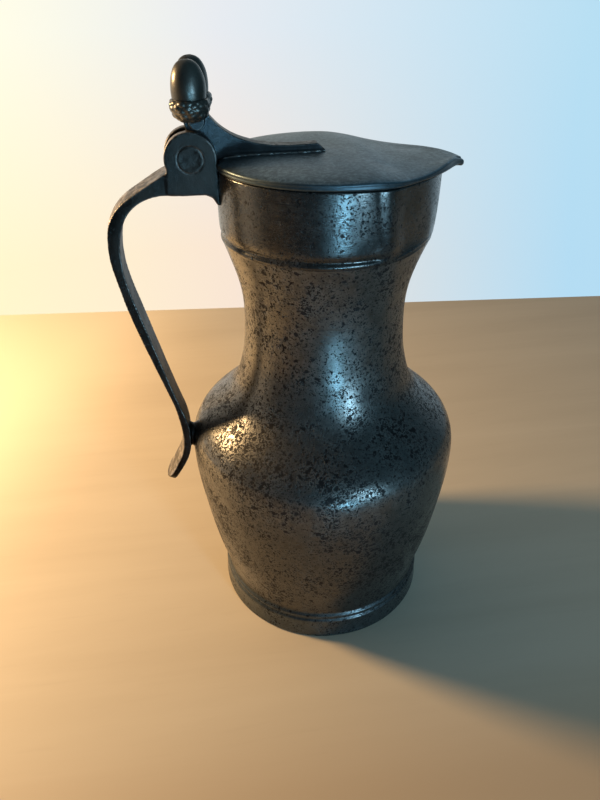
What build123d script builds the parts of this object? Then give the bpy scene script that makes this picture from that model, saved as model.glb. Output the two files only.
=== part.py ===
from build123d import *
import math
import os

# Pewter pitcher with a shouldered body, a pinched spout, a hinged heart-shaped
# lid with a twin-acorn thumbpiece, and a strap handle.
# Frame: +Z up, +X towards the spout, -X towards the handle, hinge along Y,
# origin at the centre of the foot's standing face. Millimetres.

# ---------------------------------------------------------------- dimensions
RIM_Z = 240.0            # height of the rim at the back and sides
WALL = 2.6               # wall of the body
FOOT_R = 57.75           # foot ring, outer radius at the standing face
FOOT_R_IN = 54.2         # foot ring, inner radius at the standing face
FOOT_TOP = 17.2          # top of the foot ring, where the belly is joined
BASE_Z = 12.0            # underside of the base disc
BASE_T = 2.5             # thickness of the base disc
BASE_R = 52.8
SEAM_Z = 110.4           # shoulder seam between belly and neck castings
COLLAR_Z = 209.0         # bottom of the collar
COLLAR_R = 46.6          # collar, outer radius
COLLAR_R_IN = 43.8       # collar, inner radius
SPOUT_HALF_DEG = 68.0    # half of the angle that the spout takes of the collar
LID_GAP = 0.2            # clearance between rim and lid when shut
LID_R = 47.3             # lid, radius of the round part
LID_TIP_X = 61.8         # lid, point over the spout
HINGE_X = -56.5          # hinge axis
HINGE_Z = 244.85
EAR_R = 10.6             # hinge ears
EAR_IN = 3.65            # inner faces of the ears at +-EAR_IN
EAR_OUT = 8.2            # outer faces of the ears at +-EAR_OUT
KNUCKLE_R = 8.5          # knuckle of the lid between the ears
KNUCKLE_HALF = 3.4       # half width of knuckle, web and arm
PIN_R = 2.0
BORE_R = 2.05            # running bore of the knuckle on the pin
PLUG_R = 5.2             # plugs over the pin's ends
PLUG_IN = 6.8            # pin ends and plug bottoms at +-PLUG_IN
PLUG_OUT = 8.35
ACORN_X = -54.0          # twin acorns
ACORN_Y = 8.0
ACORN_TWIST = 5.0        # the pair stands slightly askew
STRAP_HALF = 8.0         # half width of the handle strap

# outer radius of the body against height, as (z, r)
BELLY = [(17.2, 56.0), (21.6, 56.7), (28.0, 58.1), (36.0, 60.1), (52.8, 63.5),
         (72.0, 66.4), (88.8, 68.4), (98.0, 68.8), (104.0, 68.5), (108.0, 67.6),
         (110.4, 66.6)]
NECK = [(110.4, 66.6), (115.2, 63.3), (120.0, 58.3), (124.8, 53.0), (129.6, 48.2),
        (136.8, 43.8), (144.0, 41.5), (153.6, 39.4), (165.6, 38.3), (177.6, 38.15),
        (189.6, 39.7), (200.4, 42.8), (209.0, 45.7)]


def offset_curve(pts, t):
    """Points of a (z, r) curve moved inwards by t along the local normal."""
    out = []
    for i, (z, r) in enumerate(pts):
        a = pts[max(i - 1, 0)]
        b = pts[min(i + 1, len(pts) - 1)]
        dz, dr = b[0] - a[0], b[1] - a[1]
        n = math.hypot(dz, dr)
        out.append((z + t * dr / n, r - t * dz / n))
    return out


def shell(pts, t):
    """Revolved wall between a (z, r) spline and its inward offset."""
    inner = offset_curve(pts, t)
    z0, z1 = pts[0][0], pts[-1][0]
    inner[0] = (z0, inner[0][1] - (inner[0][0] - z0) * 0.0)
    inner[-1] = (z1, inner[-1][1])
    o = Spline(*[(r, 0, z) for z, r in pts])
    i = Spline(*[(r, 0, z) for z, r in reversed(inner)])
    edges = o.edges() + i.edges()
    edges += [Line(o @ 1, i @ 0).edge(), Line(i @ 1, o @ 0).edge()]
    return revolve(make_face(Wire(edges)), Axis.Z)


def xz_prism(face_pts, half, y0=None, y1=None):
    """Polygon in the XZ plane, extruded over y0..y1 or -half..half."""
    if y0 is None:
        y0, y1 = -half, half
    w = Wire.make_polygon([(x, y0, z) for x, z in face_pts], close=True)
    return Solid.extrude(Face(w), Vector(0, y1 - y0, 0))


def ycyl(x, z, r, y0, y1):
    """Cylinder along Y."""
    pl = Plane(origin=(x, y0, z), x_dir=(1, 0, 0), z_dir=(0, 1, 0))
    return Solid.make_cylinder(r, y1 - y0, pl)


# droop of rim and lid towards the spout
def droop(x):
    if x <= -12.0:
        return 0.0
    if x < 12.0:
        return -0.053 * (x + 12.0) ** 2 / 48.0
    return -0.053 * x


DROOP_X = [-12.0, -4.0, 4.0, 12.0, 75.0]


def above(z0, top=300.0):
    """Everything above the height z0 plus the droop."""
    low = [(-110.0, z0)] + [(x, z0 + droop(x)) for x in DROOP_X]
    return xz_prism(low + [(75.0, top), (-110.0, top)], 75.0)


# ------------------------------------------------------------ body of the pot
foot_pts = [(54.2, 0), (57.5, 0), (FOOT_R, 1.2), (57.6, 6.0), (57.3, 11.6),
            (56.7, 12.7), (56.5, 13.5), (56.9, 14.6), (56.6, 16.0),
            (56.0, FOOT_TOP), (BASE_R, FOOT_TOP), (BASE_R, BASE_Z), (53.6, 8.0)]
foot_ring = revolve(Face(Wire.make_polygon([(r, 0, z) for r, z in foot_pts], close=True)), Axis.Z)

base_disc = Solid.make_cylinder(BASE_R, BASE_T, Plane(origin=(0, 0, BASE_Z)))

belly = shell(BELLY, WALL)
neck = shell(NECK, WALL)

# collar: moulding of groove and bead at its foot, plain band above
collar_pts = [(45.7, COLLAR_Z), (46.15, 209.7), (46.3, 210.6), (46.1, 211.4),
              (45.5, 212.0), (45.5, 212.8), (46.3, 213.3), (46.95, 213.8),
              (47.0, 214.7), (COLLAR_R, 216.5), (COLLAR_R, 232.0), (46.8, 240.0),
              (COLLAR_R_IN, 240.0), (COLLAR_R_IN, 215.0), (43.1, COLLAR_Z)]
collar_full = revolve(Face(Wire.make_polygon([(r, 0, z) for r, z in collar_pts], close=True)), Axis.Z)
ca, sa = math.cos(math.radians(SPOUT_HALF_DEG)), math.sin(math.radians(SPOUT_HALF_DEG))
wedge_w = Wire.make_polygon([(0, 0, 200), (90 * ca, 90 * sa, 200), (160, 0, 200),
                             (90 * ca, -90 * sa, 200)], close=True)
wedge = Solid.extrude(Face(wedge_w), Vector(0, 0, 60))
collar = collar_full - wedge - above(RIM_Z)

# spout: plan radius against angle from +X at three heights
SPOUT_A = [68, 60, 52, 44, 36, 28, 20, 12, 6, 0]
SPOUT_0 = [45.7, 45.3, 44.9, 44.8, 45.0, 45.7, 46.8, 47.9, 48.8, 49.5]
SPOUT_1 = [46.6, 45.0, 43.9, 43.9, 44.7, 46.0, 47.4, 48.9, 49.9, 50.7]
SPOUT_2 = [46.6, 45.3, 44.5, 44.7, 45.4, 46.6, 48.0, 49.5, 50.6, 51.5]
SPOUT_3 = [46.7, 45.9, 45.3, 45.5, 46.2, 47.2, 48.4, 49.7, 50.8, 51.8]
SPOUT_0_IN = [43.1, 42.7, 42.2, 42.1, 42.3, 42.8, 43.3, 43.7, 44.0, 44.2]


def band(radii, z, inner):
    """Plan section of the spout wall at height z, between two radius lists."""
    rows = list(zip(SPOUT_A, radii, inner))
    full = rows + [(-a, r, q) for a, r, q in rows[-2::-1]]
    op = [(r * math.cos(math.radians(a)), r * math.sin(math.radians(a)), z) for a, r, q in full]
    ip = [(q * math.cos(math.radians(a)), q * math.sin(math.radians(a)), z) for a, r, q in full]
    o, i = Spline(*op), Spline(*reversed(ip))
    return Face(Wire([o.edge(), Line(o @ 1, i @ 0).edge(), i.edge(), Line(i @ 1, o @ 0).edge()]))


def thinner(radii, t):
    return [r - t for r in radii]


spout = loft([band(SPOUT_0, COLLAR_Z, SPOUT_0_IN), band(SPOUT_1, 215.0, thinner(SPOUT_1, 2.8)),
              band(SPOUT_2, 226.0, thinner(SPOUT_2, 2.8)),
              band(SPOUT_3, 241.5, thinner(SPOUT_3, 2.8))]) - above(RIM_Z)
# keel under the spout, running out on the neck
no = Spline(*[(r, 0, z) for z, r in NECK])
neck_core = revolve(make_face(Wire(no.edges() + [Line(no @ 1, (0, 0, 209.0)).edge(),
                                                 Line((0, 0, 209.0), (0, 0, 110.4)).edge(),
                                                 Line((0, 0, 110.4), no @ 0).edge()])), Axis.Z)


def keel_face(r_tip, r_side, half_deg, z):
    """Plan section of the keel: highest in the middle, flush at the sides."""
    pts = []
    for a in [half_deg * k / 4.0 for k in range(4, -5, -1)]:
        q = math.cos(math.radians(90.0 * a / half_deg))
        r = r_side + (r_tip - r_side) * q
        pts.append((r * math.cos(math.radians(a)), r * math.sin(math.radians(a)), z))
    o = Spline(*pts)
    i0 = (40.0 * math.cos(math.radians(-half_deg)), 40.0 * math.sin(math.radians(-half_deg)), z)
    i1 = (40.0 * math.cos(math.radians(half_deg)), 40.0 * math.sin(math.radians(half_deg)), z)
    return Face(Wire([o.edge(), Line(o @ 1, i0).edge(), Line(i0, i1).edge(), Line(i1, o @ 0).edge()]))


keel = loft([keel_face(42.7, 41.6, 16.0, 198.0), keel_face(49.3, 45.2, 30.0, COLLAR_Z)]) - neck_core
spout = spout + keel

# ------------------------------------------------------------------- handle
# outer and inner faces of the strap in the XZ plane, from the hinge block down
STRAP_OUT = [(-66.3, 240.2), (-70.4, 238.2), (-74.7, 235.8), (-79.6, 233.1), (-85.9, 229.3),
             (-90.0, 225.4), (-92.9, 220.6), (-94.3, 213.6), (-94.6, 205.4), (-93.2, 195.4),
             (-91.2, 184.1), (-88.5, 172.5), (-85.2, 160.4), (-81.8, 148.4),
             (-78.3, 136.4), (-75.6, 126.0), (-74.5, 118.0), (-73.9, 110.5),
             (-74.2, 104.0), (-75.7, 98.4), (-78.8, 92.0), (-82.2, 85.8), (-85.0, 80.9)]
STRAP_IN = [(-82.4, 78.3), (-79.4, 83.4), (-74.9, 90.4), (-71.6, 97.2), (-70.2, 103.0),
            (-69.8, 109.5), (-70.6, 117.8), (-72.6, 125.4), (-76.0, 138.4),
            (-79.2, 151.6), (-82.2, 164.2), (-85.0, 176.2), (-87.8, 187.8),
            (-89.6, 198.7), (-89.7, 207.0), (-88.5, 215.0), (-85.8, 221.9),
            (-81.5, 226.9), (-75.2, 230.2), (-67.9, 231.1)]
so = Spline(*[(x, -STRAP_HALF, z) for x, z in STRAP_OUT])
si = Spline(*[(x, -STRAP_HALF, z) for x, z in STRAP_IN])
tail_mid = (-84.5, -STRAP_HALF, 78.8)
tail = ThreePointArc(so @ 1, tail_mid, si @ 0)
blk = Polyline(si @ 1, (-60.0, -STRAP_HALF, 230.7), (-51.4, -STRAP_HALF, 230.65),
               (-48.8, -STRAP_HALF, 229.4), (-47.2, -STRAP_HALF, 226.6),
               (-44.5, -STRAP_HALF, 225.0), (-44.5, -STRAP_HALF, 239.4),
               (-60.0, -STRAP_HALF, 240.6), so @ 0)
strap_face = Face(Wire(so.edges() + tail.edges() + si.edges() + blk.edges()))
strap = Solid.extrude(strap_face, Vector(0, 2 * STRAP_HALF, 0))
# the free end is rounded in its width
TAIL_C = (-80.2, 0.0, 87.1)
tail_n = (-0.885, 0.0, 0.466)
tail_pl = Plane(origin=TAIL_C, x_dir=(-0.466, 0.0, -0.885), z_dir=tail_n)
tail_cut = (tail_pl * Pos(10, 0, 0) * Box(20, 40, 16)) - (tail_pl * Cylinder(STRAP_HALF, 24))
strap = strap - tail_cut
ear_block = [(-67.0, 239.0), (-67.0, 232.0), (-60.0, 230.9), (-51.3, 230.85),
             (-48.6, 229.6), (-47.0, 226.8), (-45.9, 226.0), (-45.9, HINGE_Z),
             (-56.5, HINGE_Z), (-66.4, 241.0)]
ears = xz_prism(ear_block, EAR_OUT) + ycyl(HINGE_X, HINGE_Z, EAR_R, -EAR_OUT, EAR_OUT)
handle = strap + ears
slot = ycyl(HINGE_X, HINGE_Z, KNUCKLE_R + 0.6, -EAR_IN, EAR_IN)
slot += xz_prism([(-56.5, 236.6), (-40.0, 236.6), (-40.0, 262.0), (-75.0, 262.0),
                  (-75.0, 241.6), (-64.5, 241.6)], EAR_IN)
handle = handle - slot
handle = handle - ycyl(HINGE_X, HINGE_Z, PIN_R, -9, 9)
handle = handle - ycyl(HINGE_X, HINGE_Z, PLUG_R, PLUG_IN, 9) - ycyl(HINGE_X, HINGE_Z, PLUG_R, -9, -PLUG_IN)
body_core = revolve(Face(Wire.make_polygon([(0, 0, 209)] + [(r, 0, z) for r, z in collar_pts[:12]] + [(0, 0, 240)], close=True)), Axis.Z)
handle = handle - body_core

# short wedge between the strap's lower end and the belly
strut = Solid.make_box(8.0, 9.0, 16.5, Plane(origin=(-72.3, -4.5, 97.0)))
belly_core_pts = [(0, 0, 17.2)] + [(r, 0, z) for z, r in BELLY]
bo = Spline(*[(r, 0, z) for z, r in BELLY])
belly_core = revolve(make_face(Wire(bo.edges() + [Line(bo @ 1, (0, 0, 110.4)).edge(),
                                                  Line((0, 0, 110.4), (0, 0, 17.2)).edge(),
                                                  Line((0, 0, 17.2), bo @ 0).edge()])), Axis.Z)
handle_strut = strut - belly_core - neck_core - strap

# -------------------------------------------------------------- pin and plugs
hinge_pin = ycyl(HINGE_X, HINGE_Z, PIN_R, -PLUG_IN, PLUG_IN)
pin_plug_far = ycyl(HINGE_X, HINGE_Z, PLUG_R, PLUG_IN, PLUG_OUT)
pin_plug_near = ycyl(HINGE_X, HINGE_Z, PLUG_R, -PLUG_OUT, -PLUG_IN)

# ---------------------------------------------------------------------- lid
LID_HW = [(14.0, 45.5), (20.0, 42.9), (26.0, 38.4), (32.0, 33.2), (38.0, 27.9),
          (44.0, 21.8), (50.0, 14.6), (54.0, 9.3), (58.0, 4.5), (60.4, 2.0)]
# height of the lid's upper edge along X, and how much its middle stands above that
LID_EDGE = [(-60.0, 243.2), (-4.0, 243.2), (4.0, 243.17), (10.0, 243.0), (14.0, 242.75), (20.0, 242.2),
            (26.0, 241.5), (32.0, 241.0), (38.0, 240.95), (44.0, 241.3), (50.0, 241.65), (54.0, 241.4),
            (56.0, 241.0), (58.0, 240.4), (60.0, 239.6), (62.0, 238.6), (70.0, 235.0), (80.0, 230.0)]
LID_MID = [(-60.0, 1.8), (8.0, 1.8), (14.0, 1.3), (20.0, 0.9), (26.0, 0.75), (32.0, 0.65), (38.0, 0.3),
           (44.0, -0.2), (50.0, -0.35), (56.0, -0.15), (60.0, 0.0), (80.0, 0.0)]
near = Spline(*([(x, -h, 236.0) for x, h in LID_HW] + [(LID_TIP_X, 0, 236.0)]
                + [(x, h, 236.0) for x, h in reversed(LID_HW)]))
lid_arc = ThreePointArc(near @ 1, (-LID_R, 0, 236.0), near @ 0)
lid_blank = Solid.extrude(Face(Wire(near.edges() + lid_arc.edges())), Vector(0, 0, 16))


def along(rows, x):
    """Value at x of a list of (x, value) rows, joined by straight lines."""
    for (x0, v0), (x1, v1) in zip(rows, rows[1:]):
        if x <= x1:
            return v0 + (v1 - v0) * (x - x0) / (x1 - x0)
    return rows[-1][1]


def half_width(x):
    """Half width of the lid at x, kept above 6 mm."""
    if x < 14.0:
        return max(math.sqrt(max(LID_R ** 2 - x * x, 0.0)), 6.0)
    return max(along(LID_HW, x), 6.0)


def lid_top(x, y):
    """Height of the lid's upper surface: crowned round part, dipping and rising nose."""
    w = min(max((x - 8.0) / 18.0, 0.0), 1.0)
    w = w * w * (3.0 - 2.0 * w)
    r = math.hypot(x, y)
    u = min(abs(y) / half_width(x), 1.0)
    crown = (1.0 - w) * 1.8 * (1.0 - min(r / 47.3, 1.0) ** 6) + w * along(LID_MID, x) * (1.0 - u * u)
    return along(LID_EDGE, x) + crown


grid =[[Vector(x, y, lid_top(x, y)) for y in [-54 + 4 * j for j in range(28)]]
        for x in [-54 + 4 * i for i in range(31)]]
top_face = Face.make_surface_from_array_of_points(grid)
under_top = Solid.extrude(top_face, Vector(0, 0, -20))
NOSE_X = [55.0, 57.0, 59.0, 60.5, 62.0]
under_bottom = xz_prism([(-110.0, RIM_Z + LID_GAP)] + [(x, RIM_Z + LID_GAP + droop(x)) for x in DROOP_X[:-1]]
                        + [(x, RIM_Z + LID_GAP + droop(x) - 0.035 * (x - 54.8) ** 2) for x in NOSE_X]
                        + [(75.0, 225.0), (75.0, 220.0), (-110.0, 220.0)], 75.0)
lid_notch = Solid.make_box(30.0, 17.6, 30.0, Plane(origin=(-75.3, -8.8, 230.0)))
lid_plate = (lid_blank & under_top) - under_bottom - lid_notch

# acorns: cup and nut in one casting each
ac = [(0, 259.2), (2.6, 259.25), (5.4, 260.3), (7.3, 262.5), (7.95, 265.1), (7.75, 266.9),
      (6.9, 267.8), (6.6, 268.4), (6.6, 271.8), (6.3, 274.7), (5.4, 277.4),
      (3.7, 279.6), (1.7, 280.7), (0, 281.0)]


def acorn(sign):
    a = math.radians(ACORN_TWIST)
    cx = ACORN_X + sign * ACORN_Y * math.sin(a)
    cy = sign * ACORN_Y * math.cos(a)
    f = Face(Wire.make_polygon([(r, 0, z) for r, z in ac], close=True))
    return Pos(cx, cy, 0) * revolve(f, Axis.Z)


acorn_near = acorn(-1)
acorn_far = acorn(1)

# lever: knuckle, web up to the acorns and arm lying on the lid
arm_top = Spline((-46.6, 0, 262.4), (-47.6, 0, 260.4), (-43.7, 0, 256.1), (-39.2, 0, 253.0), (-34.0, 0, 250.8),
                 (-29.3, 0, 249.4), (-22.5, 0, 248.3), (-15.6, 0, 248.0), (-8.7, 0, 248.1), (-3.9, 0, 248.2))
lever_pts = [(-57.4, 262.4), (-58.0, 258.6), (-57.2, 255.6), (-57.4, 251.5), (-62.0, 250.0),
             (-56.5, 243.0), (-52.0, 241.2), (-46.0, 241.4), (-44.2, 241.6), (-42.5, 243.2),
             (-20.0, 244.2), (-0.4, 244.0), (-0.7, 245.6), (-3.9, 248.2)]
arm_pts = [(-47.4, 262.4), (-47.6, 260.2), (-45.8, 258.2), (-43.7, 256.1), (-41.6, 254.5), (-39.2, 253.0), (-36.7, 251.8),
           (-34.0, 250.8), (-29.3, 249.4), (-26.0, 248.8), (-22.5, 248.3), (-15.6, 248.0), (-8.7, 248.1), (-3.9, 248.3)]
lever = xz_prism(lever_pts[:-1] + arm_pts[::-1], KNUCKLE_HALF)
lever += ycyl(HINGE_X, HINGE_Z, KNUCKLE_R, -KNUCKLE_HALF, KNUCKLE_HALF)
lever += ycyl(-52.8, 258.9, 3.1, -7.6, 7.6)
lever -= ycyl(HINGE_X, HINGE_Z, BORE_R, -9, 9)
lid_lever = lever - lid_plate - acorn_near - acorn_far

NODES = {
    "foot_ring": foot_ring, "base_disc": base_disc, "belly": belly, "neck": neck,
    "collar": collar, "spout": spout, "handle": handle, "handle_strut": handle_strut,
    "hinge_pin": hinge_pin, "pin_plug_near": pin_plug_near, "pin_plug_far": pin_plug_far,
    "lid_plate": lid_plate, "lid_lever": lid_lever,
    "acorn_near": acorn_near, "acorn_far": acorn_far,
}

os.makedirs("parts", exist_ok=True)
for name, shape in NODES.items():
    solids = shape.solids()
    print(name, len(solids), round(sum(s.volume for s in solids), 1))
    export_step(solids[0] if len(solids) == 1 else shape, "parts/" + name + ".step")
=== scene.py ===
import math

import bmesh
import bpy
import numpy as np
from mathutils import Matrix, Vector, noise


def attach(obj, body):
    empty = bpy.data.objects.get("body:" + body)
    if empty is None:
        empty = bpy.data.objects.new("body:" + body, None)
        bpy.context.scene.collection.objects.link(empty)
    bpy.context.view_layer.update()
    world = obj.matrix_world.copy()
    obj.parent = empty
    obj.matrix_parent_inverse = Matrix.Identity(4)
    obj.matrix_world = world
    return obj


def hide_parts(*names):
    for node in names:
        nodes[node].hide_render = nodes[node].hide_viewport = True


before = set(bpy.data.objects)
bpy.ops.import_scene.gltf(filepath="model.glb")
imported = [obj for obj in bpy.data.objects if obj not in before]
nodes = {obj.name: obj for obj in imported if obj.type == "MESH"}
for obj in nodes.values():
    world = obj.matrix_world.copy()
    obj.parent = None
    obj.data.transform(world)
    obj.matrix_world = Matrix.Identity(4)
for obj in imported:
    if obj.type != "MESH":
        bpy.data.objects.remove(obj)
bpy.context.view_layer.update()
MM = 0.001

# Frame: +Z up, +X towards the spout, -X towards the handle, near side -Y.
# All shape data below is in millimetres.

# ------------------------------------------------------------------ shape data
BODY = [(17.2, 56.0), (21.6, 56.7), (28.0, 58.1), (36.0, 60.1), (52.8, 63.5), (72.0, 66.4),
        (88.8, 68.4), (98.0, 68.8), (104.0, 68.5), (108.0, 67.6), (110.4, 66.6), (115.2, 63.3),
        (120.0, 58.3), (124.8, 53.0), (129.6, 48.2), (136.8, 43.8), (144.0, 41.5), (153.6, 39.4),
        (165.6, 38.3), (177.6, 38.15), (189.6, 39.7), (200.4, 42.8), (209.0, 45.7)]
SEAM_Z = 110.4
COLLAR_Z = 209.0
RIM_Z = 240.0
WALL = 2.6
COLLAR = [(209.0, 45.7), (209.5, 46.0), (210.1, 46.25), (210.8, 46.25), (211.4, 45.95), (211.9, 45.62), (212.4, 45.55),
          (212.9, 45.75), (213.5, 46.1), (214.5, 46.42), (216.0, 46.58), (218.0, 46.64), (222.0, 46.68), (228.0, 46.74),
          (234.0, 46.70), (238.0, 46.60), (240.0, 46.54), (241.5, 46.5)]
SPOUT_A = [68, 60, 52, 44, 36, 28, 20, 12, 6, 0]
SPOUT_Z = [209.0, 215.0, 226.0, 241.5]
SPOUT_R = [[45.7, 45.3, 44.9, 44.8, 45.0, 45.7, 46.8, 47.9, 48.8, 49.5],
           [46.6, 45.0, 43.9, 43.9, 44.7, 46.0, 47.4, 48.9, 49.9, 50.7],
           [46.6, 45.3, 44.5, 44.7, 45.4, 46.6, 48.0, 49.5, 50.6, 51.5],
           [46.7, 45.9, 45.3, 45.5, 46.2, 47.2, 48.4, 49.7, 50.8, 51.8]]
STRAP_OUT = [(-66.3, 240.2), (-70.4, 238.2), (-74.7, 235.8), (-79.6, 233.1), (-85.9, 229.3),
             (-90.0, 225.4), (-92.9, 220.6), (-94.3, 213.6), (-94.6, 205.4), (-93.2, 195.4),
             (-91.2, 184.1), (-88.5, 172.5), (-85.2, 160.4), (-81.8, 148.4),
             (-78.3, 136.4), (-75.6, 126.0), (-74.5, 118.0), (-73.9, 110.5),
             (-74.2, 104.0), (-75.7, 98.4), (-78.8, 92.0), (-82.2, 85.8), (-85.0, 80.9)]
STRAP_IN = [(-82.4, 78.3), (-79.4, 83.4), (-74.9, 90.4), (-71.6, 97.2), (-70.2, 103.0),
            (-69.8, 109.5), (-70.6, 117.8), (-72.6, 125.4), (-76.0, 138.4),
            (-79.2, 151.6), (-82.2, 164.2), (-85.0, 176.2), (-87.8, 187.8),
            (-89.6, 198.7), (-89.7, 207.0), (-88.5, 215.0), (-85.8, 221.9),
            (-81.5, 226.9), (-75.2, 230.2), (-67.9, 231.1)]
HINGE = (-56.5, 244.85)
LID_HW = [(14.0, 45.5), (20.0, 42.9), (26.0, 38.4), (32.0, 33.2), (38.0, 27.9), (44.0, 21.8),
          (50.0, 14.6), (54.0, 9.3), (58.0, 4.5), (60.4, 2.0)]
LID_EDGE = [(-60.0, 243.2), (-4.0, 243.2), (4.0, 243.17), (10.0, 243.0), (14.0, 242.75), (20.0, 242.2), (26.0, 241.5),
            (32.0, 241.0), (38.0, 240.95), (44.0, 241.3), (50.0, 241.65), (54.0, 241.4), (56.0, 241.0), (58.0, 240.4),
            (60.0, 239.6), (62.0, 238.6), (70.0, 235.0)]
LID_MID = [(-60.0, 1.8), (8.0, 1.8), (14.0, 1.3), (20.0, 0.9), (26.0, 0.75), (32.0, 0.65), (38.0, 0.3), (44.0, -0.2),
           (50.0, -0.35), (56.0, -0.15), (60.0, 0.0), (70.0, 0.0)]
LID_R = 47.3
LID_TIP = 61.8
ACORN = (-54.0, 8.0, 5.0)


# ------------------------------------------------------------- small numerics
def cubic(ts, vs):
    """Natural cubic spline through the rows vs at the parameters ts."""
    ts = np.asarray(ts, float)
    vs = np.asarray(vs, float)
    vs = vs[:, None] if vs.ndim == 1 else vs
    n, h = len(ts), np.diff(ts)
    a = np.zeros((n, n))
    b = np.zeros((n, vs.shape[1]))
    a[0, 0] = a[-1, -1] = 1.0
    for i in range(1, n - 1):
        a[i, i - 1], a[i, i], a[i, i + 1] = h[i - 1], 2 * (h[i - 1] + h[i]), h[i]
        b[i] = 6 * ((vs[i + 1] - vs[i]) / h[i] - (vs[i] - vs[i - 1]) / h[i - 1])
    m = np.linalg.solve(a, b)

    def f(t):
        t = np.atleast_1d(np.asarray(t, float))
        i = np.clip(np.searchsorted(ts, t) - 1, 0, n - 2)
        p, q = (ts[i + 1] - t) / h[i], (t - ts[i]) / h[i]
        return (p[:, None] * vs[i] + q[:, None] * vs[i + 1]
                + ((p ** 3 - p)[:, None] * m[i] + (q ** 3 - q)[:, None] * m[i + 1]) * (h[i] ** 2)[:, None] / 6)
    return f


def dense_curve(pts, n=3000):
    pts = np.asarray(pts, float)
    t = np.concatenate([[0], np.cumsum(np.linalg.norm(np.diff(pts, axis=0), axis=1))])
    return cubic(t, pts)(np.linspace(0, t[-1], n))


def resample(pts, count):
    d = dense_curve(pts)
    s = np.concatenate([[0], np.cumsum(np.linalg.norm(np.diff(d, axis=0), axis=1))])
    q = np.linspace(0, s[-1], count)
    return np.stack([np.interp(q, s, d[:, k]) for k in range(d.shape[1])], 1)


def smooth(a, b, x):
    t = np.clip((x - a) / (b - a), 0, 1)
    return t * t * (3 - 2 * t)


def droop(x):
    x = np.asarray(x, float)
    return np.where(x <= -12, 0.0, np.where(x < 12, -0.053 * (x + 12) ** 2 / 48, -0.053 * x))


_body = dense_curve(BODY)
_collar = dense_curve(COLLAR)
_sections = []
for radii in SPOUT_R:
    a = [-90, -80] + [-x for x in SPOUT_A] + SPOUT_A[-2::-1] + [80, 90]
    r = [radii[0]] * 2 + radii + radii[-2::-1] + [radii[0]] * 2
    _sections.append(cubic(a, r))


def wobble(ang, z):
    """The slight unevenness of a cast and hand-finished wall."""
    return (0.085 * np.sin(3 * ang + 1.3 + z / 23.0) + 0.06 * np.sin(5 * ang - 0.7 + z / 17.0)
            + 0.07 * np.sin(2 * ang + z / 31.0 + 2.1) + 0.035 * np.sin(9 * ang + z / 9.0))


def body_r(z):
    return np.interp(z, _body[:, 0], _body[:, 1])


def collar_r(z):
    return np.interp(z, _collar[:, 0], _collar[:, 1])


def spout_r(ang, z):
    """Outer radius of the spout wall; ang in radians from +X."""
    deg = np.degrees((ang + np.pi) % (2 * np.pi) - np.pi)
    shape = np.broadcast(deg, z).shape
    deg = np.broadcast_to(deg, shape).ravel()
    zz = np.broadcast_to(z, shape).ravel()
    s = [f(np.clip(deg, -90, 90))[:, 0] for f in _sections]
    k = np.clip(zz, 209, 241.5)
    out = np.zeros_like(k)
    for i in range(3):
        z0, z1 = SPOUT_Z[i], SPOUT_Z[i + 1]
        sel = (k >= z0) & (k <= z1)
        t = (k - z0) / (z1 - z0)
        m0 = (s[i + 1] - s[i - 1]) / (SPOUT_Z[i + 1] - SPOUT_Z[i - 1]) if i else (s[1] - s[0]) / 6.0
        m1 = (s[i + 2] - s[i]) / (SPOUT_Z[i + 2] - SPOUT_Z[i]) if i < 2 else (s[3] - s[2]) / 15.5
        h = z1 - z0
        v = ((2 * t ** 3 - 3 * t ** 2 + 1) * s[i] + (t ** 3 - 2 * t ** 2 + t) * h * m0
             + (-2 * t ** 3 + 3 * t ** 2) * s[i + 1] + (t ** 3 - t ** 2) * h * m1)
        out = np.where(sel, v, out)
    # faint ridge left by the lower edge of the spout's strip
    a = np.abs(deg)
    out = out + 0.14 * np.exp(-((zz - 210.4 - 0.02 * (60 - a)) / 0.42) ** 2) * (1 - smooth(58, 66, a))
    return out.reshape(shape)


def neck_r(ang, z):
    """The neck swells under the spout to meet it."""
    deg = np.abs(np.degrees((ang + np.pi) % (2 * np.pi) - np.pi))
    top = spout_r(ang, np.full_like(z * 1.0, 209.0)) - 45.7
    g = np.clip((z - 193.0) / 16.0, 0, 1) ** 1.6
    return body_r(z) + top * g * (1 - smooth(66, 74, deg))


def upper_r(ang, z):
    """Collar and spout as one surface, with a soft crease where the spout begins."""
    deg = np.abs(np.degrees((ang + np.pi) % (2 * np.pi) - np.pi))
    f = smooth(66, 77, deg)
    r = spout_r(ang, z) * (1 - f) + collar_r(z) * f
    # crease: a quick step down from the collar, then a slow rise onto the spout
    edge = np.interp(z, [210, 213, 225, 238], [67.0, 69.5, 73.5, 75.3])
    u = edge - deg
    step = -0.12 * smooth(-2.0, 0.2, u) + 0.72 * smooth(-0.1, 6.2, u) - 0.60 * smooth(7.5, 18.0, u)
    return r + step * smooth(210.5, 217.0, z)


def upper_in(ang, z):
    deg = np.abs(np.degrees((ang + np.pi) % (2 * np.pi) - np.pi))
    f = smooth(63, 75, deg)
    c = np.interp(z, [209.0, 215.0, 241.5], [43.1, 43.8, 43.9])
    s = spout_r(ang, z + 0.0) - np.interp(z, [209.0, 213.0, 241.5], [3.6, 2.9, 2.6])
    return s * (1 - f) + c * f


# -------------------------------------------------------------- mesh helpers
def make_object(name, verts, faces, sharp=38.0):
    me = bpy.data.meshes.new(name)
    me.from_pydata((np.asarray(verts, float) * MM).tolist(), [], [list(map(int, f)) for f in faces])
    bm = bmesh.new()
    bm.from_mesh(me)
    bmesh.ops.recalc_face_normals(bm, faces=bm.faces)
    bm.to_mesh(me)
    bm.free()
    me.polygons.foreach_set("use_smooth", [True] * len(me.polygons))
    me.set_sharp_from_angle(angle=math.radians(sharp))
    ob = bpy.data.objects.new(name, me)
    bpy.context.scene.collection.objects.link(ob)
    return ob


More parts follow.
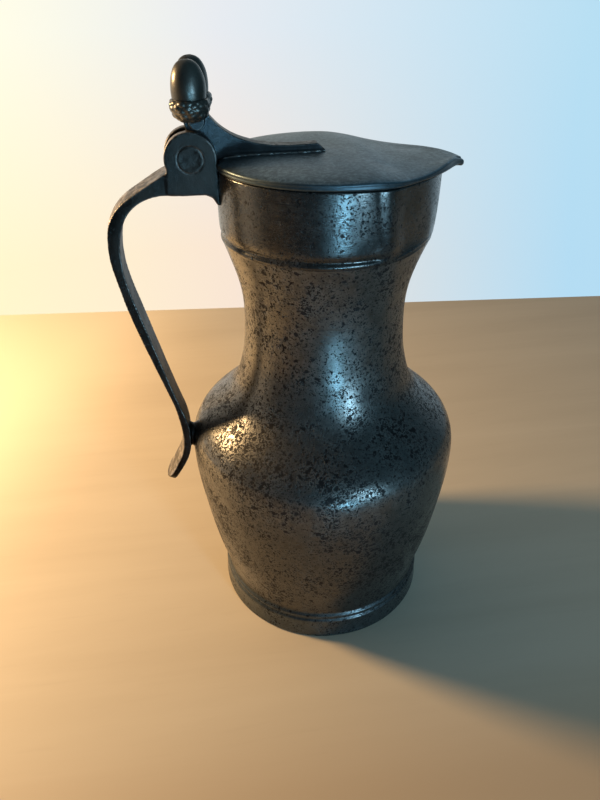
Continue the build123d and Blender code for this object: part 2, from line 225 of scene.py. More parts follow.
def turned(name, ang, rad, zed, sharp=38.0, whole=True):
    """Mesh of a turned wall: rad and zed are (angles, loop) arrays of a closed section."""
    n, m = rad.shape
    v = np.stack([rad * np.cos(ang)[:, None], rad * np.sin(ang)[:, None], zed], -1).reshape(-1, 3)
    faces = []
    for i in range(n if whole else n - 1):
        a, b = i * m, ((i + 1) % n) * m
        for j in range(m):
            k = (j + 1) % m
            faces.append((a + j, b + j, b + k, a + k))
    if not whole:
        faces.append(list(range(m)))
        faces.append([(n - 1) * m + j for j in range(m)][::-1])
    return make_object(name, v, faces, sharp)


def lathe(name, loop, n=320, uneven=0.0, sharp=38.0):
    """A closed (r, z) loop turned about Z. Points on the axis become one vertex."""
    loop = np.asarray(loop, float)
    ang = np.linspace(0, 2 * np.pi, n, endpoint=False)
    if loop[0, 0] > 1e-6:
        rad = np.repeat(loop[None, :, 0], n, 0)
        zed = np.repeat(loop[None, :, 1], n, 0)
        if uneven:
            rad = rad + uneven * wobble(ang[:, None], zed)
        return turned(name, ang, rad, zed, sharp)
    inner = loop[1:-1]
    m = len(inner)
    v = [np.array([0, 0, loop[0, 1]])]
    for a in ang:
        for r, z in inner:
            v.append(np.array([r * math.cos(a), r * math.sin(a), z]))
    v.append(np.array([0, 0, loop[-1, 1]]))
    f = []
    for i in range(n):
        a, b = 1 + i * m, 1 + ((i + 1) % n) * m
        f.append((0, a, b))
        for j in range(m - 1):
            f.append((a + j, a + j + 1, b + j + 1, b + j))
        f.append((a + m - 1, len(v) - 1, b + m - 1))
    return make_object(name, v, f, sharp)


def arc(cx, cz, r, a0, a1, n):
    """Points of an arc in the section plane, angles in degrees."""
    return [(cx + r * math.cos(math.radians(a0 + (a1 - a0) * k / (n - 1))),
             cz + r * math.sin(math.radians(a0 + (a1 - a0) * k / (n - 1)))) for k in range(n)]


def evaluated_copy(ob, name):
    dg = bpy.context.evaluated_depsgraph_get()
    me = bpy.data.meshes.new_from_object(ob.evaluated_get(dg))
    me.name = name
    return me


def neighbours(me):
    e = np.zeros(len(me.edges) * 2, np.int64)
    me.edges.foreach_get("vertices", e)
    return e.reshape(-1, 2)


def get_co(me):
    co = np.zeros(len(me.vertices) * 3)
    me.vertices.foreach_get("co", co)
    return co.reshape(-1, 3)


def set_co(me, co):
    me.vertices.foreach_set("co", co.astype(np.float32).ravel())
    me.update()


def relax(co, e, times, lam=0.5, back=-0.52):
    """Smoothing that keeps the volume: each pass is followed by one outwards."""
    deg = np.bincount(e.ravel(), minlength=len(co)).astype(float)[:, None]
    for i in range(times):
        for w in (lam, back):
            s = np.zeros_like(co)
            for k in range(3):
                s[:, k] = (np.bincount(e[:, 0], co[e[:, 1], k], len(co))
                           + np.bincount(e[:, 1], co[e[:, 0], k], len(co)))
            co = co + w * (s / deg - co)
    return co


def cast_copy(node, name, voxel, soften, change=None):
    """A node's solid with the soft edges of a casting: fine even mesh, edges eased."""
    src = nodes[node]
    me = src.data.copy()
    me.transform(Matrix.Scale(1000.0, 4))
    tmp = bpy.data.objects.new("tmp_" + name, me)
    bpy.context.scene.collection.objects.link(tmp)
    w = tmp.modifiers.new("w", "WELD")
    w.merge_threshold = 0.002
    r = tmp.modifiers.new("r", "REMESH")
    r.mode = "VOXEL"
    r.voxel_size = voxel
    r.adaptivity = 0.0
    bpy.context.view_layer.update()
    out = evaluated_copy(tmp, name)
    bpy.data.objects.remove(tmp)
    e = neighbours(out)
    co = get_co(out)
    co = relax(co, e, soften)
    if change is not None:
        co = change(co)
    set_co(out, co * MM)
    out.materials.clear()
    out.polygons.foreach_set("use_smooth", [True] * len(out.polygons))
    ob = bpy.data.objects.new(name, out)
    bpy.context.scene.collection.objects.link(ob)
    return ob


def noise3(co, scale, seed=0.0):
    o = Vector((seed * 17.3, seed * 5.1, seed * 11.7))
    return np.array([noise.noise(Vector(p) * scale + o) for p in co])


# ------------------------------------------------------------------ body parts
ANG = np.linspace(0, 2 * np.pi, 360, endpoint=False)


def wall_piece(name, z0, z1, step, fo, fi, ang, whole, rim=False):
    """Wall between an outer and an inner radius function, from z0 to z1."""
    zo = np.linspace(z0, z1, int(round((z1 - z0) / step)) + 1)
    rows = [("o", z, 0.0) for z in zo]
    if rim:
        e = 0.75
        rows = [("o", z, 0.0) for z in zo[zo < z1 - e - 0.2]]
        rows += [("o", z1 - e + e * math.sin(math.radians(t)), -e * (1 - math.cos(math.radians(t)))) for t in range(0, 91, 15)]
        rows += [("i", z1 - e + e * math.sin(math.radians(t)), e * (1 - math.cos(math.radians(t)))) for t in range(90, -1, -15)]
        rows += [("i", z, 0.0) for z in zo[zo < z1 - e - 0.2][::-2]]
    else:
        rows += [("i", z, 0.0) for z in zo[::-2]]
    if rows[-1][1] > z0 + 1e-6:
        rows.append(("i", z0, 0.0))
    rad = np.zeros((len(ang), len(rows)))
    zed = np.zeros_like(rad)
    for j, (kind, z, off) in enumerate(rows):
        zz = np.full(len(ang), float(z))
        r = (fo if kind == "o" else fi)(ang, zz) + off + wobble(ang, zz) * (1.0 if kind == "o" else 0.8)
        rad[:, j] = r
        zed[:, j] = z
    if rim:
        x = rad * np.cos(ang)[:, None]
        zed = z0 + (zed - z0) * (z1 - z0 + droop(x)) / (z1 - z0)
    return turned(name, ang, rad, zed, whole=whole)


_inner = np.array([(z, body_r(z) - WALL * math.sqrt(1 + ((body_r(z + 0.5) - body_r(z - 0.5))) ** 2)) for z in np.linspace(17.2, 209, 400)])


def body_in(ang, z):
    return np.interp(z, _inner[:, 0], _inner[:, 1])


def belly_out(ang, z):
    # the solder seam at the shoulder shows as a hair-fine line
    return body_r(z) - 0.10 * np.exp(-((z - SEAM_Z) / 0.35) ** 2)


def neck_out(ang, z):
    return neck_r(ang, z) - 0.10 * np.exp(-((z - SEAM_Z) / 0.35) ** 2)


belly = wall_piece("pot_belly", 17.2, SEAM_Z, 0.8, belly_out, body_in, ANG, True)
neck = wall_piece("pot_neck", SEAM_Z, COLLAR_Z, 0.8, neck_out, body_in, ANG, True)
SP = math.radians(68.0)
collar = wall_piece("pot_collar", COLLAR_Z, RIM_Z, 0.32, upper_r, upper_in,
                    np.linspace(SP, 2 * np.pi - SP, 261), False, rim=True)
spout = wall_piece("pot_spout", COLLAR_Z, RIM_Z, 0.32, upper_r, upper_in,
                   np.linspace(-SP, SP, 181), False, rim=True)

foot_line = [(52.8, 17.2), (52.8, 12.4), (53.1, 10.2), (53.6, 8.0), (53.9, 4.0), (54.2, 0.9), (54.5, 0.25), (55.1, 0.0),
             (56.6, 0.0), (57.3, 0.12), (57.68, 0.55), (57.78, 1.3), (57.70, 2.4), (57.56, 4.0), (57.44, 6.0), (57.38, 8.0),
             (57.40, 9.6), (57.42, 10.8), (57.30, 11.7), (56.95, 12.3), (56.62, 12.7), (56.45, 13.15), (56.50, 13.65),
             (56.78, 14.1), (56.98, 14.6), (57.0, 15.1), (56.82, 15.6), (56.45, 16.1), (56.15, 16.6), (56.0, 17.2)]
fl = np.asarray(foot_line)
foot_up = resample(fl[8:], 70)
foot = lathe("pot_foot", np.vstack([fl[:8], foot_up]), n=360, uneven=1.0)

disc = [(0, 12.0), (6.0, 12.0), (14.0, 12.02), (26.0, 12.05), (38.0, 12.05), (46.0, 12.0), (49.6, 11.85), (50.4, 11.6),
        (52.6, 11.6), (52.75, 11.8), (52.75, 14.4), (52.3, 14.5), (40.0, 14.45), (20.0, 14.3), (8.0, 14.25), (0, 14.25)]
base = lathe("pot_base", disc, n=240)


# ---------------------------------------------------------------------- handle
mid_n = 420
_out = resample(STRAP_OUT, mid_n)
_in = resample(STRAP_IN[::-1], mid_n)


def strap_change(co):
    """Crown on the strap's outer face, eased flanks, and the unevenness of a casting."""
    p = co[:, [0, 2]]
    m = (_out + _in) / 2
    idx = np.zeros(len(p), int)
    for k in range(0, len(p), 20000):
        d = ((p[k:k + 20000, None, :] - m[None, ::3]) ** 2).sum(-1)
        idx[k:k + 20000] = d.argmin(1) * 3
    t = _out[idx] - _in[idx]
    th = np.linalg.norm(t, axis=1)
    t = t / th[:, None]
    v = ((p - _in[idx]) * t).sum(1) / th
    # how far along the strap: 0 at the hinge block
    on = smooth(12, 50, idx) * (1 - smooth(398, 416, idx))
    y = np.clip(np.abs(co[:, 1]) / 8.0, 0, 1.05)
    low = -0.85 * y ** 2.6 * smooth(0.35, 1.0, v) * on
    belly_in = 0.28 * y ** 3 * (1 - smooth(0.0, 0.5, v)) * on
    out = co.copy()
    out[:, 0] += t[:, 0] * (low + belly_in)
    out[:, 2] += t[:, 1] * (low + belly_in)
    # flanks lean a little, narrower at the outer face
    out[:, 1] -= np.sign(co[:, 1]) * 0.55 * smooth(0.4, 1.0, v) * on * smooth(0.6, 1.0, y)
    n1 = noise3(out, 0.16, 1.0)
    n2 = noise3(out, 0.55, 2.0)
    nm = np.stack([t[:, 0], np.sign(co[:, 1]) * 0.6, t[:, 1]], 1)
    k = 0.10 * n1 + 0.05 * n2
    ax = np.hypot(co[:, 0] - HINGE[0], co[:, 2] - HINGE[1])
    k = k * smooth(11.5, 14.0, ax)
    return out + nm * k[:, None]


handle = cast_copy("handle", "pot_handle", 0.42, 5, strap_change)


def strap_in_x(z):
    k = np.argsort(_in[:, 1])
    sel = [i for i in k if 90 < _in[i, 1] < 125]
    return np.interp(z, _in[sel, 1], _in[sel, 0])


# solder wedge between strap and belly
sv, sf = [], []
NT, NA = 13, 40
for i in range(NT):
    t = i / (NT - 1)
    flare = (2 * t - 1) ** 2
    for j in range(NA):
        a = 2 * math.pi * j / NA
        y = (3.3 + 1.3 * flare) * math.copysign(abs(math.cos(a)) ** 0.8, math.cos(a))
        z = 105.3 + (6.6 + 1.4 * flare) * math.copysign(abs(math.sin(a)) ** 0.8, math.sin(a))
        x0 = float(strap_in_x(z)) - 0.25
        rr = float(body_r(z))
        x1 = -math.sqrt(rr * rr - y * y) + 0.25
        sv.append((x0 + (x1 - x0) * t, y, z))
for i in range(NT - 1):
    for j in range(NA):
        k = (j + 1) % NA
        sf.append((i * NA + j, i * NA + k, (i + 1) * NA + k, (i + 1) * NA + j))
sf.append(list(range(NA)))
sf.append([(NT - 1) * NA + j for j in range(NA)][::-1])
strut = make_object("pot_strut", sv, sf)


# plugs over the pin's ends: raised ring round an uneven hollow
def plug(name, sign, seed):
    prof = [(0.0, 8.06), (0.7, 8.06), (1.5, 8.05), (2.3, 8.05), (3.0, 8.06), (3.6, 8.10), (4.05, 8.15), (4.4, 8.18),
            (4.75, 8.17), (5.05, 8.12), (5.26, 8.02), (5.34, 7.85), (5.34, 6.85)]
    n = 72
    v, f = [(0.0, prof[0][1], 0.0)], []
    for i in range(n):
        a = 2 * math.pi * i / n
        for r, y in prof[1:]:
            v.append((r * math.cos(a), y, r * math.sin(a)))
    m = len(prof) - 1
    v.append((0.0, 6.85, 0.0))
    for i in range(n):
        a, b = 1 + i * m, 1 + ((i + 1) % n) * m
        f.append((0, b, a))
        for j in range(m - 1):
            f.append((a + j, b + j, b + j + 1, a + j + 1))
        f.append((a + m - 1, b + m - 1, len(v) - 1))
    v = np.array(v)
    rr = np.hypot(v[:, 0], v[:, 2])
    top = v[:, 1] > 7.5
    v[:, 1] += top * (0.11 * noise3(v, 0.38, seed) + 0.06 * noise3(v, 1.0, seed + 3)) * (1 - smooth(4.3, 5.2, rr) * 0.5)
    v[:, 1] = np.minimum(v[:, 1], 8.34)
    v[:, 0] += HINGE[0]
    v[:, 2] += HINGE[1]
    v[:, 1] *= sign
    return make_object(name, v, f, 60)


plug_near = plug("pot_plug_near", -1, 4.0)
plug_far = plug("pot_plug_far", 1, 7.0)


# ------------------------------------------------------------------------- lid
def lid_outline():
    near_side = [(x, -h) for x, h in LID_HW] + [(LID_TIP, 0.0)] + [(x, h) for x, h in reversed(LID_HW)]
    nose = dense_curve(near_side, 1200)
    s = np.concatenate([[0], np.cumsum(np.linalg.norm(np.diff(nose, axis=0), axis=1))])
    tip = s[np.argmax(nose[:, 0])]
    # closer points round the tip
    q = np.linspace(-1, 1, 181)
    w = np.sign(q) * np.abs(q) ** 1.6
    half = s[-1] / 2
    nose = np.stack([np.interp(tip + w * half, s, nose[:, k]) for k in (0, 1)], 1)
    cx, cr = 0.236, 47.536
    a1 = math.atan2(45.5, 14.0 - cx)
    back = np.linspace(a1, 2 * math.pi - a1, 300)[1:-1]
    rest = np.stack([cx + cr * np.cos(back), cr * np.sin(back)], 1)
    pts = np.vstack([nose, rest])
    # shallow notch for the hinge ears
    d = 1 - smooth(8.6, 9.4, np.abs(pts[:, 1]))
    notch = np.where(pts[:, 0] < -40, np.maximum(pts[:, 0], -45.3), pts[:, 0])
    pts[:, 0] = pts[:, 0] * (1 - d) + notch * d
    return pts


_edge = dense_curve(LID_EDGE)
_mid = dense_curve(LID_MID)


def lid_top(x, y):
    x, y = np.asarray(x, float), np.asarray(y, float)
    w = smooth(8.0, 26.0, x)
    hw = np.where(x < 14.0, np.sqrt(np.maximum(LID_R ** 2 - x * x, 0.0)), np.interp(x, *np.transpose(LID_HW)))
    u = np.minimum(np.abs(y) / np.maximum(hw, 6.0), 1.0)
    crown = (1 - w) * 1.8 * (1 - np.minimum(np.hypot(x, y) / 47.3, 1) ** 6)
    crown = crown + w * np.interp(x, _mid[:, 0], _mid[:, 1]) * (1 - u * u)
    # a softly rounded border on the nose, with a shallow dish inside it
    border = -0.40 * np.exp(-((u - 1.0) / 0.16) ** 2) - 0.22 * np.exp(-((u - 0.62) / 0.25) ** 2)
    z = np.interp(x, _edge[:, 0], _edge[:, 1]) + crown + w * border * (1 - smooth(50, 58, x))
    return z + 0.10 * np.sin(x / 13.0 + 0.6) * np.sin(y / 17.0 + 1.1) + 0.05 * np.sin(x / 6.0 - y / 9.0)


def lid_under(x):
    return 240.2 + droop(x) - 0.024 * np.maximum(x - 54.8, 0) ** 2


outl = lid_outline()
rho = np.hypot(outl[:, 0], outl[:, 1])
E1, E2 = 1.0, 1.1


def inset(d):
    return outl * (1 - d / rho)[:, None]


rings = []
for s in [0.03, 0.06, 0.1, 0.15, 0.2, 0.26, 0.32, 0.38, 0.44, 0.5, 0.56, 0.62, 0.68, 0.73, 0.78, 0.82, 0.86, 0.89, 0.92, 0.945]:
    p = outl * s
    rings.append(np.column_stack([p, lid_top(p[:, 0], p[:, 1])]))
for d in [2.2, 1.7]:
    p = inset(d)
    rings.append(np.column_stack([p, lid_top(p[:, 0], p[:, 1])]))
pe = inset(0.0)
edge_t = lid_top(pe[:, 0], pe[:, 1])
edge_b = lid_under(pe[:, 0])
thick = np.maximum(edge_t - edge_b, 1.2)
tipped = smooth(54.0, 60.5, pe[:, 0])
e1 = np.minimum(E1 + 0.7 * tipped, thick * 0.5)
e2 = np.minimum(E2 + 0.5 * tipped, thick * 0.42)
for t in range(90, -1, -15):
    a = math.radians(t)
    p = outl * (1 - (e1 * (1 - math.cos(a))) / rho)[:, None]
    rings.append(np.column_stack([p, edge_t - e1 * (1 - math.sin(a))]))
# faint waist in the edge between the top round and the lower lip
p = inset(0.12)
rings.append(np.column_stack([p, edge_t - e1 - 0.35 * (thick - e1 - e2)]))
p = inset(0.18)
rings.append(np.column_stack([p, edge_t - e1 - 0.7 * (thick - e1 - e2)]))
for t in range(0, -91, -15):
    a = math.radians(t)
    p = outl * (1 - (e2 * (1 - math.cos(a))) / rho)[:, None]
    rings.append(np.column_stack([p, edge_b + e2 * (1 + math.sin(a))]))
for s in [0.93, 0.8, 0.6, 0.4, 0.2, 0.05]:
    p = outl * s
    rings.append(np.column_stack([p, lid_under(p[:, 0])]))
n = len(outl)
lv = [np.array([[0, 0, float(lid_top(0.0, 0.0))]])] + rings + [np.array([[0, 0, float(lid_under(0.0))]])]
lv = np.vstack(lv)
lf = []
for j in range(n):
    lf.append((0, 1 + j, 1 + (j + 1) % n))
for i in range(len(rings) - 1):
    a, b = 1 + i * n, 1 + (i + 1) * n
    for j in range(n):
        k = (j + 1) % n
        lf.append((a + j, b + j, b + k, a + k))
last = 1 + (len(rings) - 1) * n
for j in range(n):
    lf.append((len(lv) - 1, last + (j + 1) % n, last + j))
lid = make_object("lid_plate_top", lv, lf, 60)


def lever_change(co):
    """Wider bore round the pin, cast unevenness, a trace of the solder line on the lid."""
    out = co.copy()
    dx, dz = co[:, 0] - HINGE[0], co[:, 2] - HINGE[1]
    r = np.hypot(dx, dz)
    near = (r < 3.2) & (np.abs(co[:, 1]) < 4)
    k = np.where(near, np.maximum(r, 2.45) / np.maximum(r, 1e-6), 1.0)
    out[:, 0] = HINGE[0] + dx * k
    out[:, 2] = HINGE[1] + dz * k
    free = smooth(9.6, 11.0, r) * smooth(-50.0, -46.0, co[:, 0])
    n1 = noise3(out, 0.14, 5.0) * 0.08 + noise3(out, 0.5, 6.0) * 0.018
    side = np.sign(co[:, 1]) * smooth(2.2, 3.0, np.abs(co[:, 1]))
    out[:, 1] += side * n1 * free
    # the arm is a little wider where it meets the lid, and narrows to its end
    arm = smooth(-44.0, -38.0, co[:, 0])
    foot_w = (1 - smooth(245.0, 246.6, co[:, 2])) * arm
    out[:, 1] += np.sign(co[:, 1]) * 0.38 * foot_w * smooth(2.0, 3.2, np.abs(co[:, 1]))
    out[:, 1] *= 1 - 0.10 * smooth(-30.0, -2.0, co[:, 0])
    return out


lever = cast_copy("lid_lever", "lid_lever_arm", 0.30, 4, lever_change)

# solder bead along the foot of the arm, on both sides
bead_v, bead_f = [], []


def bead(points, radii, seg=12):
    base_i = len(bead_v)
    pts = np.asarray(points, float)
    tan = np.gradient(pts, axis=0)
    tan /= np.linalg.norm(tan, axis=1)[:, None]
    for p, t, r in zip(pts, tan, radii):
        u = np.cross(t, (0, 0, 1.0))
        u /= np.linalg.norm(u)
        w = np.cross(t, u)
        for k in range(seg):
            a = 2 * math.pi * k / seg
            bead_v.append(p + r * (math.cos(a) * u + math.sin(a) * w))
    m = len(pts)
    for i in range(m - 1):
        for k in range(seg):
            l = (k + 1) % seg
            bead_f.append((base_i + i * seg + k, base_i + i * seg + l, base_i + (i + 1) * seg + l, base_i + (i + 1) * seg + k))
    bead_f.append([base_i + k for k in range(seg)][::-1])
    bead_f.append([base_i + (m - 1) * seg + k for k in range(seg)])


for sgn in (-1, 1):
    xs = np.linspace(-43.6, -2.2, 90)
    ys = sgn * (3.62 - 0.34 * smooth(-30, -2, xs)) + 0.05 * np.sin(xs * 1.3 + sgn)
    zs = lid_top(xs, ys) + 0.10
    rr = 0.42 + 0.08 * np.sin(xs * 0.9 + 2 * sgn) + 0.05 * np.sin(xs * 2.3)
    rr[0] = rr[-1] = 0.12
    rr[1] = rr[-2] = 0.3
    bead(np.column_stack([xs, ys, zs]), rr)
lever_bead = make_object("lid_lever_bead", bead_v, bead_f, 80)


# acorns: smooth nut in a scaled cup
def acorn(name, sign, seed):
    nut = [(6.15, 266.4), (6.45, 267.4), (6.62, 268.6), (6.72, 270.0), (6.70, 271.6), (6.55, 273.2), (6.28, 274.7),
           (5.85, 276.2), (5.25, 277.6), (4.45, 278.9), (3.45, 279.9), (2.3, 280.55), (1.2, 280.85), (0.0, 280.95)]
    cup = [(0.0, 259.2), (1.4, 259.22), (2.8, 259.35), (4.3, 259.8), (5.6, 260.6), (6.6, 261.7), (7.3, 263.0),
           (7.62, 264.4), (7.65, 265.6), (7.45, 266.6), (7.05, 267.25), (6.7, 267.5), (6.5, 267.35), (6.3, 266.8)]
    cd = resample(cup, 84)
    nd = resample(nut, 60)
    nd[-1] = (0.0, 280.95)
    cd[0] = (0.0, 259.2)
    prof = np.vstack([cd, nd[1:]])
    ncup = len(cd)
    nang = 128
    ang = np.linspace(0, 2 * np.pi, nang, endpoint=False)
    v, f = [(0.0, 0.0, 259.2)], []
    m = len(prof) - 2
    dt = np.gradient(prof, axis=0)
    nrm = np.stack([dt[:, 1], -dt[:, 0]], 1)
    nrm /= np.linalg.norm(nrm, axis=1)[:, None]
    rng = np.random.default_rng(int(seed))
    rows = [(260.2, 8), (261.8, 11), (263.6, 12), (265.4, 12), (266.8, 12)]
    jit = [rng.normal(0, 0.13, k) for _, k in rows]
    hgt = [0.20 + 0.34 * rng.random(k) for _, k in rows]
    for a in ang:
        for j in range(1, len(prof) - 1):
            r, z = prof[j]
            d = 0.0
            if j < ncup:
                for q, (zc, cnt) in enumerate(rows):
                    step = 2 * math.pi / cnt
                    ph = 0.5 * step * (q % 2)
                    i = int(round((a - ph) / step)) % cnt
                    da = (a - ph - i * step + math.pi) % (2 * math.pi) - math.pi + jit[q][i] * 0.6
                    dd = math.hypot(da * r / 1.6, (z - zc - jit[q][i] * 3) / 1.15)
                    d = max(d, hgt[q][i] * max(0.0, 1 - dd * dd)) if dd < 1 else d
                fade = smooth(1.5, 4.0, r) * (1 - 0.8 * smooth(267.1, 267.5, z))
                d = (d - 0.10) * float(fade)
            else:
                d = 0.05 * math.sin(3 * a + z * 0.5 + seed)
            rr, zz = r + nrm[j][0] * d, z + nrm[j][1] * d
            v.append((rr * math.cos(a), rr * math.sin(a), zz))
    v.append((0.0, 0.0, 280.95))
    for i in range(nang):
        a, b = 1 + i * m, 1 + ((i + 1) % nang) * m
        f.append((0, a, b))
        for j in range(m - 1):
            f.append((a + j, a + j + 1, b + j + 1, b + j))
        f.append((a + m - 1, len(v) - 1, b + m - 1))
    v = np.array(v)
    tw = math.radians(ACORN[2])
    v[:, 0] += ACORN[0] + sign * ACORN[1] * math.sin(tw)
    v[:, 1] += sign * ACORN[1] * math.cos(tw)
    return make_object(name, v, f, 70)


acorn_near = acorn("lid_acorn_near", -1, 3)
acorn_far = acorn("lid_acorn_far", 1, 8)


# ------------------------------------------------------------------- materials
class Tree:
    def __init__(self, name):
        self.mat = bpy.data.materials.new(name)
        self.mat.use_nodes = True
        self.nt = self.mat.node_tree
        self.nt.nodes.clear()
        self.out = self.nt.nodes.new("ShaderNodeOutputMaterial")
        tc = self.nt.nodes.new("ShaderNodeTexCoord")
        self.pos = tc.outputs["Object"]
        s = self.nt.nodes.new("ShaderNodeSeparateXYZ")
        self.link(self.pos, s.inputs[0])
        self.x, self.y, self.z = s.outputs

    def link(self, a, b):
        self.nt.links.new(a, b)

    def put(self, sock, v):
        if isinstance(v, bpy.types.NodeSocket):
            self.link(v, sock)
        else:
            sock.default_value = v

    def math(self, op, a, b=0.0, c=None, clamp=False):
        n = self.nt.nodes.new("ShaderNodeMath")
        n.operation = op
        n.use_clamp = clamp
        self.put(n.inputs[0], a)
        self.put(n.inputs[1], b)
        if c is not None:
            self.put(n.inputs[2], c)
        return n.outputs[0]

    def add(self, a, b):
        return self.math("ADD", a, b)

    def mul(self, a, b):
        return self.math("MULTIPLY", a, b)

    def remap(self, v, a, b, c=0.0, d=1.0, kind="SMOOTHSTEP"):
        n = self.nt.nodes.new("ShaderNodeMapRange")
        n.interpolation_type = kind
        n.clamp = True
        for i, q in enumerate((v, a, b, c, d)):
            self.put(n.inputs[i], q)
        return n.outputs[0]

    def scaled(self, sx, sy, sz, vec=None):
        n = self.nt.nodes.new("ShaderNodeVectorMath")
        n.operation = "MULTIPLY"
        self.put(n.inputs[0], vec if vec is not None else self.pos)
        n.inputs[1].default_value = (sx, sy, sz)
        return n.outputs[0]

    def shifted(self, dx, dy, dz, vec=None):
        n = self.nt.nodes.new("ShaderNodeVectorMath")
        n.operation = "ADD"
        self.put(n.inputs[0], vec if vec is not None else self.pos)
        n.inputs[1].default_value = (dx, dy, dz)
        return n.outputs[0]

    def noise(self, scale, detail=2.0, rough=0.5, dist=0.0, vec=None):
        n = self.nt.nodes.new("ShaderNodeTexNoise")
        n.noise_dimensions = "3D"
        self.put(n.inputs["Vector"], vec if vec is not None else self.pos)
        n.inputs["Scale"].default_value = scale
        n.inputs["Detail"].default_value = detail
        n.inputs["Roughness"].default_value = rough
        n.inputs["Distortion"].default_value = dist
        return n.outputs[0]

    def cells(self, scale, vec=None, rnd=1.0):
        n = self.nt.nodes.new("ShaderNodeTexVoronoi")
        self.put(n.inputs["Vector"], vec if vec is not None else self.pos)
        n.inputs["Scale"].default_value = scale
        n.inputs["Randomness"].default_value = rnd
        return n.outputs["Distance"], n.outputs["Color"]

    def mix(self, f, a, b):
        n = self.nt.nodes.new("ShaderNodeMix")
        n.data_type = "RGBA"
        self.put(n.inputs[0], f)
        self.put(n.inputs[6], a if isinstance(a, bpy.types.NodeSocket) else (*a, 1.0))
        self.put(n.inputs[7], b if isinstance(b, bpy.types.NodeSocket) else (*b, 1.0))
        return n.outputs[2]

    def bump(self, height, dist, strength=1.0, normal=None):
        n = self.nt.nodes.new("ShaderNodeBump")
        n.inputs["Strength"].default_value = strength
        n.inputs["Distance"].default_value = dist
        self.put(n.inputs["Height"], height)
        if normal is not None:
            self.link(normal, n.inputs["Normal"])
        return n.outputs[0]

    def shader(self, color, rough, normal=None, metallic=1.0, coat=None, **fixed):
        n = self.nt.nodes.new("ShaderNodeBsdfPrincipled")
        self.put(n.inputs["Base Color"], color if isinstance(color, bpy.types.NodeSocket) else (*color, 1.0))
        self.put(n.inputs["Metallic"], metallic)
        self.put(n.inputs["Roughness"], rough)
        if coat is not None:
            self.put(n.inputs["Coat Weight"], coat)
            if normal is not None:
                self.link(normal, n.inputs["Coat Normal"])
        for k, v in fixed.items():
            n.inputs[k.replace("_", " ")].default_value = v
        if normal is not None:
            self.link(normal, n.inputs["Normal"])
        self.link(n.outputs[0], self.out.inputs[0])
        return self.mat


